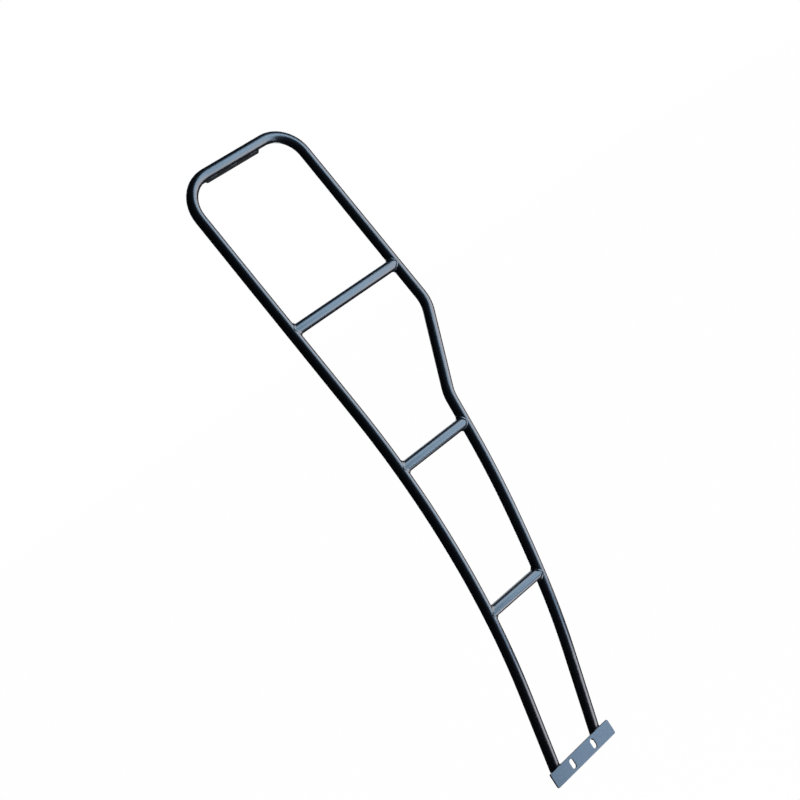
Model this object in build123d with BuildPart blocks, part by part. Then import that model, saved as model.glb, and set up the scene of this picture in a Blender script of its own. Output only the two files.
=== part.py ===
"""Tailgate ladder: a bent tube hoop with three rungs, a hook behind its top bar and a slotted foot plate.

Millimetres and degrees. X runs to the right as seen from behind the vehicle, Y runs forward to
the tailgate and Z runs up. The origin is on the outer face of the foot plate, which bolts to a
bracket on the vehicle, midway between its two slots.
"""

import os
from math import cos, radians, sin, tan

from build123d import *

os.makedirs("parts", exist_ok=True)

# Tubes
rail_diameter = 25.0
rail_wall = 2.0
rung_diameter = 25.0
rung_wall = 2.0
cope_gap = 0.3

# Distance between the rails' centre lines, from the top bar down to the foot
top_width = 304.0
waist_width = 201.0
knee_width = 164.0
foot_width = 134.0

# Distances down the rails from the top bar's centre line
upper_rung_station = 369.0
jog_start = 473.0
curve_start = 654.0
middle_rung_station = 718.0
lower_rung_station = 1065.0
curve_end = 1171.0
rail_length = 1448.5

# Bends: the rails lean forward at the top and turn under in equal steps
top_lean = 11.3
curve_turn = 30.0
curve_steps = 4
knee_step = 2
curve_fill = 0.98
top_left_radius = 75.0
top_right_radius = 66.0
jog_start_radius = 75.0
jog_end_radius = 60.0

# Foot plate, which stands across the outer side of the rails' lower ends
plate_length = 193.0
plate_height = 35.0
plate_thickness = 4.0
plate_corner_radius = 3.0
plate_edge_radius = 0.8
rail_overlap = 20.0
slot_width = 12.0
slot_length = 23.0
slot_spacing = 70.0

# Hook on the vehicle side of the top bar, measured from the bar's centre line
hook_length = 155.0
hook_thickness = 4.0
hook_bend_radius = 4.0
hook_drop = 8.0
hook_rise = 13.0
hook_reach = 50.0
hook_lip = 15.0
hook_chamfer = 6.0
pad_thickness = 3.0
pad_drop = 14.0

# The rails' centre lines at the plate's upper edge, where the leaning rails touch its back
foot_x = foot_width / 2
foot_y = plate_thickness + rail_diameter / 2 / cos(radians(curve_turn - top_lean))
plate_top = plate_height / 2

# The tailgate curve is a run of equal bends, each with an arc that nearly meets the next
step_length = (curve_end - curve_start) / (curve_steps - 1)
step_turn = curve_turn / curve_steps
curve_radius = curve_fill * step_length / 2 / tan(radians(step_turn / 2))
curve_stations = [curve_start + step * step_length for step in range(curve_steps)]

# The right rail's distance from the left one, station by station
width_stations = [0.0, jog_start, curve_start, curve_stations[knee_step], rail_length]
rail_widths = [top_width, top_width, waist_width, knee_width, foot_width]


def side_point(station):
    """Y and Z of the rails' centre line at a distance down from the top bar."""
    y, z = foot_y, plate_top
    bends_below = [bend for bend in reversed(curve_stations) if bend > station]
    stops = [rail_length, *bends_below, station]
    lean = radians(top_lean - curve_turn)
    for lower, upper in zip(stops, stops[1:]):
        y += (lower - upper) * sin(lean)
        z += (lower - upper) * cos(lean)
        lean += radians(step_turn)
    return y, z


def right_rail_x(station):
    """X of the right rail's centre line at a distance down from the top bar."""
    spans = list(zip(width_stations, width_stations[1:], rail_widths, rail_widths[1:]))
    upper, lower, upper_width, lower_width = next((span for span in spans if station <= span[1]), spans[-1])
    share = (station - upper) / (lower - upper)
    return upper_width + share * (lower_width - upper_width) - foot_x


# The tube's route, from below the left foot over the top bar to below the right foot
foot_run = rail_length + rail_overlap + rail_diameter
left_stations = [foot_run, *reversed(curve_stations), 0.0]
right_stations = [0.0, jog_start, *curve_stations, foot_run]
left_points = [(-foot_x, *side_point(station)) for station in left_stations]
right_points = [(right_rail_x(station), *side_point(station)) for station in right_stations]
left_radii = [curve_radius] * curve_steps + [top_left_radius]
right_radii = [top_right_radius, jog_start_radius, jog_end_radius] + [curve_radius] * (curve_steps - 1)
with BuildLine() as hoop_route:
    FilletPolyline(*left_points, *right_points, radius=left_radii + right_radii)
route_start = Plane(hoop_route.line @ 0, z_dir=hoop_route.line % 0)

# The hoop: both rails and the top bar in one bent tube, cut off level behind the plate
with BuildPart() as hoop_tube:
    with BuildSketch(route_start):
        Circle(rail_diameter / 2)
        Circle(rail_diameter / 2 - rail_wall, mode=Mode.SUBTRACT)
    sweep(path=hoop_route.line)
    split(bisect_by=Plane.XY.offset(plate_top - rail_overlap), keep=Keep.TOP)
hoop_tube.part.label = "hoop_tube"
export_step(hoop_tube.part, "parts/hoop_tube.step")

# The rungs: level tubes, coped to the rails with room for the weld's root
rung_stations = {
    "upper_rung": upper_rung_station,
    "middle_rung": middle_rung_station,
    "lower_rung": lower_rung_station,
}
route = hoop_route.wire()
for rung_name, station in rung_stations.items():
    left_spot = route.distance_to_with_closest_points((-foot_x, *side_point(station)))[1]
    right_aim = (right_rail_x(station), left_spot.Y, left_spot.Z)
    right_spot = route.distance_to_with_closest_points(right_aim)[1]
    left_end = Plane(left_spot, x_dir=(0, 1, 0), z_dir=(1, 0, 0))
    with BuildPart() as rung:
        with BuildSketch(left_end.offset(-rail_diameter / 2)):
            Circle(rung_diameter / 2)
            Circle(rung_diameter / 2 - rung_wall, mode=Mode.SUBTRACT)
        extrude(amount=right_spot.X - left_spot.X + rail_diameter)
        for rail_spot, outward in ((left_spot, (-1, 0, 0)), (right_spot, (1, 0, 0))):
            with BuildSketch(Plane(rail_spot, x_dir=outward, z_dir=route.tangent_at(rail_spot))):
                with Locations((rail_diameter, 0)):
                    SlotCenterToCenter(2 * rail_diameter, rail_diameter + 2 * cope_gap)
            extrude(amount=2 * rail_diameter, both=True, mode=Mode.SUBTRACT)
    rung.part.label = rung_name
    export_step(rung.part, f"parts/{rung_name}.step")

# The foot plate: two upright slots take the bolts, and its outer edges are eased
with BuildPart() as base_plate:
    with BuildSketch(Plane.XZ) as plate_outline:
        Rectangle(plate_length, plate_height)
        fillet(plate_outline.vertices(), plate_corner_radius)
        with GridLocations(slot_spacing, 0, 2, 1):
            SlotOverall(slot_length, slot_width, rotation=90, mode=Mode.SUBTRACT)
    extrude(amount=-plate_thickness)
    outer_face = base_plate.faces().sort_by(Axis.Y)[0]
    fillet(outer_face.outer_wire().edges(), plate_edge_radius)
base_plate.part.label = "base_plate"
export_step(base_plate.part, "parts/base_plate.step")

# The hook stands midway along the top bar, in the frame that leans with the rails
top_y, top_z = side_point(0.0)
forward = Vector(0, cos(radians(top_lean)), -sin(radians(top_lean)))
bar_middle = Vector((right_rail_x(0.0) - foot_x) / 2, top_y, top_z)
hook_side = Plane(bar_middle, x_dir=forward, z_dir=(1, 0, 0))
flange_front = rail_diameter / 2
flange_back = flange_front + hook_thickness
with BuildPart() as hook_plate:
    with BuildSketch(hook_side.offset(-hook_length / 2)):
        with BuildLine():
            FilletPolyline(
                (flange_front, -hook_drop),
                (flange_front, hook_rise),
                (hook_reach, hook_rise),
                (hook_reach, hook_rise - hook_lip),
                radius=hook_bend_radius + hook_thickness,
            )
            offset(amount=hook_thickness, side=Side.RIGHT)
        make_face()
    extrude(amount=hook_length)
    end_edges = hook_plate.edges().filter_by(Axis((0, 0, 0), forward))
    chamfer(end_edges.sort_by(SortBy.LENGTH)[:4], hook_chamfer)
hook_plate.part.label = "hook_plate"
export_step(hook_plate.part, "parts/hook_plate.step")

# The rubber pad lines the hook's flange where the tailgate's edge bears on it, and hangs below it
pad_top = hook_rise - hook_thickness - hook_bend_radius
pad_face = Plane(bar_middle + forward * flange_back, x_dir=(-1, 0, 0), z_dir=forward)
with BuildPart() as hook_pad:
    with BuildSketch(pad_face) as pad_outline:
        with Locations((0, (pad_top - pad_drop) / 2)):
            Rectangle(hook_length, pad_top + pad_drop)
        chamfer(pad_outline.vertices().group_by(Axis.Y)[0], hook_chamfer)
    extrude(amount=pad_thickness)
hook_pad.part.label = "hook_pad"
export_step(hook_pad.part, "parts/hook_pad.step")
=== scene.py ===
# %% [markdown]
# A tailgate ladder: one bent tube makes both rails and the top bar, three short tubes are
# welded between the rails as rungs, a slotted plate crosses the feet and a hook sits behind
# the top bar. The CAD model already has these shapes in metres, so Blender's work is what
# CAD leaves out: the weld beads, the coating, the rubber, the light and the camera.

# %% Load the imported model
from math import cos, pi, radians, sin

import bpy
from mathutils import Matrix, Vector


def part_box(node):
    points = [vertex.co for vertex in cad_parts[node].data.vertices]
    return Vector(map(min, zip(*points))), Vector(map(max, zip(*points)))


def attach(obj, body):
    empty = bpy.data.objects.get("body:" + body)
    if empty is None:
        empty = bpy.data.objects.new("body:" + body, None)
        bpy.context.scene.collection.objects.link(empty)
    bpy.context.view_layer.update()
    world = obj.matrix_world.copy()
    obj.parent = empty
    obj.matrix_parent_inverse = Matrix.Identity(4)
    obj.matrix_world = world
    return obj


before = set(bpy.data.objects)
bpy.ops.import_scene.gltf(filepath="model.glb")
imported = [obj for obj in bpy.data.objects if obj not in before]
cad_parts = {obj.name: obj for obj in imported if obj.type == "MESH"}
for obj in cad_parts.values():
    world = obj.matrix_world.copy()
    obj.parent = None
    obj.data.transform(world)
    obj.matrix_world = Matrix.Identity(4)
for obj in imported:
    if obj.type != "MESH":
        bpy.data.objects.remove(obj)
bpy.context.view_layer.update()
print("nodes:", sorted(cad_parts))

# %% [markdown]
# The camera comes first, because every later choice is judged through it. The ladder is seen
# from behind the vehicle, a little to the left, with the camera rolled so that the rails run
# across the picture's diagonal. A camera in Blender looks down its own -Z axis, so its
# turning is a matrix whose columns are its right, its up and its backward direction.

# %% Camera
camera_place = (-1.9492, -3.1058, 1.2169)
to_right = Vector((0.6711, -0.5087, -0.5393)).normalized()
onward = Vector((0.5467, 0.8309, -0.1035)).normalized()
to_top = to_right.cross(onward).normalized()
camera_data = bpy.data.cameras.new("ladder_camera")
camera_data.lens = 81.0
camera_data.sensor_width = 36.0
camera = bpy.data.objects.new("ladder_camera", camera_data)
bpy.context.scene.collection.objects.link(camera)
turning = Matrix((to_right, to_top, -onward)).transposed().to_4x4()
camera.matrix_world = Matrix.Translation(camera_place) @ turning
bpy.context.scene.camera = camera
print("camera:", [round(value, 3) for value in camera.matrix_world.translation])

# %% [markdown]
# A welder closes each rung's coped end with one bead all the way round. The bead follows the
# saddle where the two tubes meet, which is awkward to draw but easy to find: a ring as wide
# as the rung is thrown along the rung until every point lands on the rail. The Shrinkwrap
# modifier does exactly that. The landed ring is then extruded and resized step by step, from
# the bead's toe on the rung down a hollow slope to its toe on the rail and back to its hidden
# root. Above and below the rung the tubes meet in a corner that takes the full leg. In front
# and behind they run into each other almost flush, so there the bead is only a low ridge over
# the seam. Every second slice is sunk a little, which leaves the ripples of a weld pool.

# %% The steps of a rung's bead
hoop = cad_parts["hoop_tube"]
slices = 84
ring_share = 0.985
ripple = 0.00025
smooth_angle = radians(60)
# Shift at the seam in front, shift in the corner, width and height, all against the landed ring
landed = (0.0, 0.0, 1.0, 1.0)
rung_toe = (0.0022, 0.0062, 1.02, 1.02)
slope = [
    (0.0012, 0.0041, 1.067, 1.094),
    (0.0001, 0.0024, 1.08, 1.2),
    (-0.001, 0.001, 1.064, 1.335),
]
rail_toe = (-0.002, 0.0006, 1.03, 1.5)
root = (0.0, 0.0, 0.955, 0.955)
print("steps of a bead:", 3 + len(slope), "of", slices, "points")

# %% Helpers for all beads


def start_clean():
    """Leaves edit mode's choices behind: nothing is selected, nothing is active."""
    bpy.ops.object.select_all(action="DESELECT")
    bpy.context.view_layer.objects.active = None


def wrap_on_rail(piece, method, group=""):
    """A Shrinkwrap modifier that lands a piece, or one group of its points, on the hoop."""
    wrap = piece.modifiers.new("wrap", "SHRINKWRAP")
    wrap.target = hoop
    wrap.wrap_method = method
    wrap.vertex_group = group
    return wrap


def landed_ring(middle, size, side):
    """A ring of edges that is thrown along X from a rung's middle and lands on the rail."""
    start_clean()
    bpy.ops.mesh.primitive_circle_add(
        vertices=slices, radius=size, location=middle, rotation=(0, pi / 2, 0)
    )
    ring = bpy.context.active_object
    bpy.ops.object.transform_apply(location=True, rotation=True, scale=True)
    throw = wrap_on_rail(ring, "PROJECT")
    throw.use_project_x = True
    throw.use_positive_direction = side == "right"
    throw.use_negative_direction = side == "left"
    bpy.ops.object.modifier_apply(modifier=throw.name)
    return ring


def reshape(old, new, seam, inward, depth):
    """Turns the selected ring from one step's shift and size to the next step's."""
    drawn_out = [1 + (corner_shift - seam_shift) / depth for seam_shift, corner_shift, *_ in (old, new)]
    ratio = (drawn_out[1] / drawn_out[0], new[2] / old[2], new[3] / old[3])
    bpy.ops.transform.resize(value=ratio, center_override=seam + Vector((inward * old[0], 0, 0)))
    bpy.ops.transform.translate(value=(inward * (new[0] - old[0]), 0, 0))


def finish_bead(bead, name):
    """Points a bead's faces outwards, smooths it and lets it ride with the ladder."""
    bpy.ops.object.mode_set(mode="EDIT")
    bpy.ops.mesh.select_all(action="SELECT")
    bpy.ops.mesh.normals_make_consistent(inside=False)
    bpy.ops.object.mode_set(mode="OBJECT")
    bpy.ops.object.shade_smooth_by_angle(angle=smooth_angle)
    bead.name = bead.data.name = name
    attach(bead, "root")
    return bead


print("bead helpers ready")

# %% One bead round a rung's end


def rung_bead(name, middle, size, side):
    """Extrudes a landed ring through all the steps and closes it into a rippled bead."""
    inward = 1 if side == "left" else -1
    bead = landed_ring(middle, size, side)
    reach = [inward * vertex.co.x for vertex in bead.data.vertices]
    depth = max(reach) - min(reach)
    seam = Vector((inward * min(reach), middle.y, middle.z))
    bpy.ops.object.mode_set(mode="EDIT")
    bpy.ops.mesh.select_all(action="SELECT")
    reshape(landed, rung_toe, seam, inward, depth)
    for old, new in zip([rung_toe, *slope, rail_toe], [*slope, rail_toe, root]):
        bpy.ops.mesh.extrude_region_move()
        reshape(old, new, seam, inward, depth)
        if new == rail_toe:
            bpy.ops.object.vertex_group_assign_new()
    bpy.ops.mesh.select_all(action="DESELECT")
    bpy.ops.mesh.select_non_manifold()
    bpy.ops.mesh.bridge_edge_loops()
    bpy.ops.mesh.select_all(action="DESELECT")
    bpy.ops.object.mode_set(mode="OBJECT")
    settle = wrap_on_rail(bead, "NEAREST_SURFACEPOINT", bead.vertex_groups[0].name)
    bpy.ops.object.modifier_apply(modifier=settle.name)
    bpy.ops.object.vertex_group_remove(all=True)
    slope_steps = range(1, 1 + len(slope))
    for vertex in bead.data.vertices:
        vertex.select = vertex.index % 2 == 1 and vertex.index // slices in slope_steps
    bpy.ops.object.mode_set(mode="EDIT")
    bpy.ops.transform.shrink_fatten(value=-ripple)
    bpy.ops.object.mode_set(mode="OBJECT")
    print(name, "lands", round(1000 * depth, 1), "mm deep,", len(bead.data.polygons), "faces")
    return finish_bead(bead, name)


# %% Beads at the rungs' ends
beads = []
for rung_name in ("upper_rung", "middle_rung", "lower_rung"):
    low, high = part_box(rung_name)
    rung_radius = (high.z - low.z) / 2
    for side in ("left", "right"):
        name = f"{rung_name}_{side}_weld"
        beads.append(rung_bead(name, (low + high) / 2, ring_share * rung_radius, side))
print("beads at the rungs:", len(beads))

# %% [markdown]
# The rails lean against the back of the foot plate, so a wedge opens between each rail and the
# plate. A welder fills it from both sides and runs one more bead along the plate's upper edge.
# All of these are short straight beads, so one is modelled from a small disc that is extruded
# step by step, smaller at both ends and pinched a little at every second step. Each place gets
# a copy with its own mesh, turned and moved in edit mode.

# %% One short straight bead
stitch_length = 0.024
stitch_radius = 0.0023
stitch_taper = 0.6
stitch_ripple = 0.0003
stitch_steps = 16
stitch_sides = 12


def stitch_size(step):
    """The bead's radius at one step of its length."""
    along = 2 * step / stitch_steps - 1
    return stitch_radius * (1 - stitch_taper * along ** 6) - stitch_ripple * (step % 2)


start_clean()
bpy.ops.mesh.primitive_circle_add(
    vertices=stitch_sides, radius=stitch_size(0), fill_type="NGON",
    location=(-stitch_length / 2, 0, 0), rotation=(0, pi / 2, 0),
)
stitch = bpy.context.active_object
bpy.ops.object.transform_apply(location=True, rotation=True, scale=True)
bpy.ops.object.mode_set(mode="EDIT")
bpy.ops.mesh.select_all(action="SELECT")
onward_step = {"value": (stitch_length / stitch_steps, 0, 0)}
for step in range(stitch_steps):
    growth = stitch_size(step + 1) / stitch_size(step)
    bpy.ops.mesh.extrude_region_move(TRANSFORM_OT_translate=onward_step)
    bpy.ops.transform.resize(value=(1, growth, growth), center_override=(0, 0, 0))
bpy.ops.object.mode_set(mode="OBJECT")
finish_bead(stitch, "stitch")
print("stitch:", len(stitch.data.vertices), "vertices,", len(stitch.data.polygons), "faces")

# %% Copies of the short bead


def lay_stitch(name, place, turn=0.0, tilt=0.0):
    """Copies the short bead, turns it about Y, tilts it about X and moves it to its place."""
    copy = stitch.copy()
    copy.data = stitch.data.copy()
    bpy.context.scene.collection.objects.link(copy)
    copy.name = copy.data.name = name
    start_clean()
    copy.select_set(True)
    bpy.context.view_layer.objects.active = copy
    bpy.ops.object.mode_set(mode="EDIT")
    bpy.ops.mesh.select_all(action="SELECT")
    # With no window the rotate operator turns the other way, hence the minus signs
    bpy.ops.transform.rotate(value=-turn, orient_axis="Y", center_override=(0, 0, 0))
    bpy.ops.transform.rotate(value=-tilt, orient_axis="X", center_override=(0, 0, 0))
    bpy.ops.transform.translate(value=place)
    bpy.ops.object.mode_set(mode="OBJECT")
    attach(copy, "root")
    return copy


# %% Beads at the foot plate
plate_back, plate_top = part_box("base_plate")[1].yz
edge_back, edge_drop = -0.0003, 0.0013
flank_shift, flank_back, flank_drop = 0.0068, 0.0026, 0.0112
wedge_tilt = radians(9)
for side, inward in (("left", 1), ("right", -1)):
    foot = [v.co.x for v in hoop.data.vertices if v.co.z < plate_top and v.co.x * inward < 0]
    rail_x = (min(foot) + max(foot)) / 2
    edge_place = (rail_x, plate_back + edge_back, plate_top - edge_drop)
    beads.append(lay_stitch(f"{side}_foot_edge_weld", edge_place))
    for flank, shift in (("inner", flank_shift * inward), ("outer", -flank_shift * inward)):
        flank_place = (rail_x + shift, plate_back + flank_back, plate_top - flank_drop)
        flank_name = f"{side}_foot_{flank}_weld"
        beads.append(lay_stitch(flank_name, flank_place, turn=pi / 2, tilt=wedge_tilt))
    print(side, "foot beads at x", round(rail_x, 4))

# %% [markdown]
# The hook's flange only touches the top bar along a line, so it is held by short stitches in
# the two grooves above and below that line, three in each.

# %% Stitches along the hook
hook_low, hook_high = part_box("hook_plate")
rung_low, rung_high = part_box("upper_rung")
bar_radius = (rung_high.z - rung_low.z) / 2
bar_top = max(v.co.z for v in hoop.data.vertices)
crest_height = 0.0004
crest = [v.co.y for v in hoop.data.vertices if v.co.z > bar_top - crest_height]
bar_x = (hook_low.x + hook_high.x) / 2
bar_axis = Vector((bar_x, (min(crest) + max(crest)) / 2, bar_top - bar_radius))
top_lean = radians(11.3)
forward = Vector((0, cos(top_lean), -sin(top_lean)))
upward = Vector((0, sin(top_lean), cos(top_lean)))
stitch_spacing = 0.056
stitch_sink = 0.0016
groove = 0.0092
places = [
    bar_axis + Vector((along, 0, 0)) + forward * (bar_radius - stitch_sink) + upward * rise
    for rise in (groove, -groove)
    for along in (-stitch_spacing, 0.0, stitch_spacing)
]
for number, place in enumerate(places, start=1):
    beads.append(lay_stitch(f"hook_stitch_{number}", place))
bpy.data.objects.remove(stitch)
print("stitches:", len(places), "along the bar at y", round(bar_axis.y, 4), "z", round(bar_axis.z, 4))

# %% [markdown]
# Shader nodes are easier to read as sums than as boxes. One small class wraps a node's output
# so that + - * / build Math nodes, and one method of a second class adds any other node:
# its settings are set first, then its sockets get values or links.

# %% A small language for shader nodes


class Wave:
    """One value that changes over a surface; arithmetic on it adds Math nodes."""

    def __init__(self, finish, socket):
        self.finish, self.socket = finish, socket

    def joined(self, operation, first, second):
        return self.finish.node("ShaderNodeMath", {"operation": operation}, {0: first, 1: second})

    def __add__(self, other):
        return self.joined("ADD", self, other)

    def __sub__(self, other):
        return self.joined("SUBTRACT", self, other)

    def __mul__(self, other):
        return self.joined("MULTIPLY", self, other)

    def __truediv__(self, other):
        return self.joined("DIVIDE", self, other)

    def __rsub__(self, other):
        return self.joined("SUBTRACT", other, self)

    def __rtruediv__(self, other):
        return self.joined("DIVIDE", other, self)

    __radd__ = __add__
    __rmul__ = __mul__


class Finish:
    """A node tree that is filled from expressions."""

    def __init__(self, tree):
        self.tree = tree
        tree.nodes.clear()

    def node(self, kind, settings=None, sockets=None, out=0):
        made = self.tree.nodes.new(kind)
        for name, value in (settings or {}).items():
            setattr(made, name, value)
        for key, value in (sockets or {}).items():
            if isinstance(value, Wave):
                self.tree.links.new(value.socket, made.inputs[key])
            else:
                made.inputs[key].default_value = value
        return Wave(self, made.outputs[out]) if len(made.outputs) else made

    def blend(self, share, first, second):
        return self.node("ShaderNodeMix", {"data_type": "RGBA"}, {0: share, 6: first, 7: second}, out=2)

    def noise(self, place, scale, detail):
        return self.node("ShaderNodeTexNoise", None, {"Vector": place, "Scale": scale, "Detail": detail})


def new_finish(name):
    material = bpy.data.materials.new(name)
    material.use_nodes = True
    return material, Finish(material.node_tree)


print("node helpers ready")

# %% [markdown]
# Powder coat is plastic dust that is baked until it flows. It never flows quite flat: under a
# lamp it shows the tiny dimples called orange peel, about a millimetre across, and a finer
# grain on top. The gloss is satin. The colour is almost black and hardly varies, so the
# changes are kept in the roughness and the bump, where the eye finds them.

# %% Satin black powder coat
coat, paint = new_finish("satin_black_powder_coat")
place = paint.node("ShaderNodeTexCoord", out=3)
drift = paint.noise(place, 7.0, 2.0)
peel = paint.noise(place, 620.0, 1.0)
grain = paint.noise(place, 2300.0, 2.0)
tone = paint.blend(drift, (0.0032, 0.0034, 0.0046, 1), (0.0048, 0.005, 0.0066, 1))
sheen = 0.22 + drift * 0.05 + grain * 0.04
dimples = paint.node(
    "ShaderNodeBump", None, {"Strength": 0.05, "Distance": 0.0006, "Height": peel * 0.8 + grain * 0.2}
)
surface = paint.node(
    "ShaderNodeBsdfPrincipled", None,
    {"Base Color": tone, "Roughness": sheen, "IOR": 1.55, "Normal": dimples},
)
paint.node("ShaderNodeOutputMaterial", None, {"Surface": surface})
print("coat nodes:", len(coat.node_tree.nodes))

# %% [markdown]
# The pad on the hook's flange is moulded rubber. It is duller than the coat, faintly
# mottled, and has the fine matt grain that a mould leaves.

# %% Pad rubber
rubber, mould = new_finish("matt_pad_rubber")
place = mould.node("ShaderNodeTexCoord", out=3)
mottle = mould.noise(place, 60.0, 3.0)
matt = mould.noise(place, 1500.0, 2.0)
tone = mould.blend(mottle, (0.019, 0.016, 0.0135, 1), (0.029, 0.025, 0.021, 1))
dimples = mould.node("ShaderNodeBump", None, {"Strength": 0.2, "Distance": 0.0004, "Height": matt})
dullness = 0.72 + mottle * 0.16
surface = mould.node(
    "ShaderNodeBsdfPrincipled", None,
    {
        "Base Color": tone, "Roughness": dullness, "IOR": 1.5,
        "Specular IOR Level": 0.15, "Normal": dimples,
    },
)
mould.node("ShaderNodeOutputMaterial", None, {"Surface": surface})
print("rubber nodes:", len(rubber.node_tree.nodes))

# %% [markdown]
# The ladder is coated after welding, so the tubes, the plates and the beads share one coat.
# Only the pad is put on later, in bare rubber.

# %% Give every node and bead its finish
for name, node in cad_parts.items():
    node.data.materials.clear()
    node.data.materials.append(rubber if name == "hook_pad" else coat)
for bead in beads:
    bead.data.materials.clear()
    bead.data.materials.append(coat)
print("finished:", len(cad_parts), "nodes and", len(beads), "beads")

# %% [markdown]
# The room is white to the camera and dim to everything else, as in a cut-out product picture.
# The Light Path node tells the two apart. The floor is far below the ladder and also shows
# white, with a small share left for a shadow.

# %% White room
world = bpy.data.worlds.new("white_room")
bpy.context.scene.world = world
world.use_nodes = True
room = Finish(world.node_tree)
seen = room.node("ShaderNodeLightPath")
through = Wave(room, seen.socket.node.outputs["Is Transmission Ray"])
dim = room.node("ShaderNodeBackground", None, {"Color": (0.75, 0.87, 1.0, 1), "Strength": 0.03})
white = room.node("ShaderNodeBackground", None, {"Color": (1, 1, 1, 1), "Strength": 1.0})
shown = room.node("ShaderNodeMixShader", None, {0: seen + through, 1: dim, 2: white})
room.node("ShaderNodeOutputWorld", None, {"Surface": shown})
print("room nodes:", len(world.node_tree.nodes))

# %% Pale floor
floor_level = -0.92
white_share = 0.994
start_clean()
bpy.ops.mesh.primitive_plane_add(size=60.0, location=(0, 0, floor_level))
floor = bpy.context.active_object
floor.name = floor.data.name = "studio_floor"
floor.visible_glossy = False
pale, ground = new_finish("pale_floor")
seen = ground.node("ShaderNodeLightPath")
lit = ground.node("ShaderNodeBsdfDiffuse", None, {"Color": (0.8, 0.8, 0.8, 1)})
bright = ground.node("ShaderNodeEmission", None, {"Color": (1, 1, 1, 1), "Strength": 1.0})
mixed = ground.node("ShaderNodeMixShader", None, {0: seen * white_share, 1: lit, 2: bright})
ground.node("ShaderNodeOutputMaterial", None, {"Surface": mixed})
floor.data.materials.append(pale)
print("floor at z", floor_level)

# %% [markdown]
# Black gloss shows only what it mirrors, so the look comes from two tall soft panels side by
# side on the right. A level tube mirrors the nearer, cool panel to the camera, so the rungs and
# the top bar get a broad bluish band, which a small sky panel carries on above. An upright tube
# mirrors mostly the farther, neutral panel, so each rail gets a grey stripe down its right side
# and stays black on the left. Lower down the rails turn under and the foot plate stands upright,
# so each has a low panel of its own. Two weak panels behind the ladder light the rims.

# %% Soft panels


def soft_panel(name, place, aim, width, height, colour, radiance):
    """An area lamp that faces its aim and whose face has the given brightness."""
    lamp = bpy.data.lights.new(name, "AREA")
    lamp.shape = "RECTANGLE"
    lamp.size, lamp.size_y = width, height
    lamp.color = colour
    lamp.energy = radiance * pi * width * height
    holder = bpy.data.objects.new(name, lamp)
    bpy.context.scene.collection.objects.link(holder)
    away = (Vector(place) - Vector(aim)).normalized()
    facing = away.to_track_quat("Z", "Y").to_matrix().to_4x4()
    holder.matrix_world = Matrix.Translation(place) @ facing
    holder.visible_camera = False
    print(name, "power", round(lamp.energy, 1), "W")


cool = (0.48, 0.73, 1.0)
deep_cool = (0.41, 0.67, 1.0)
pale_cool = (0.8, 0.9, 1.0)
neutral = (0.9, 0.92, 1.0)
soft_panel("cool_panel", (0.779, -1.115, 1.0), (-0.141, -0.305, 1.0), 0.417, 2.6, cool, 9.4)
soft_panel("sky_panel", (1.014, -0.843, 2.2), (0.094, -0.033, 2.2), 0.432, 0.9, cool, 6.0)
soft_panel("neutral_panel", (1.179, -0.654, 0.7), (0.259, 0.156, 0.7), 0.804, 2.2, neutral, 6.6)
soft_panel("plate_panel", (0.47, -0.715, -0.278), (0.0, 0.0, 0.0), 0.5, 0.36, deep_cool, 5.7)
soft_panel("foot_panel", (0.48, -0.4, -0.5), (0.0, 0.0, 0.15), 0.6, 0.4, neutral, 6.0)
soft_panel("back_panel", (1.3, 1.9, 1.85), (0.08, 0.0, 1.2), 2.4, 1.3, pale_cool, 2.4)
soft_panel("rear_panel", (0.53, 1.38, 0.3), (0.08, 0.0, 1.0), 0.42, 0.7, pale_cool, 4.0)
bpy.context.scene.view_settings.view_transform = "Standard"
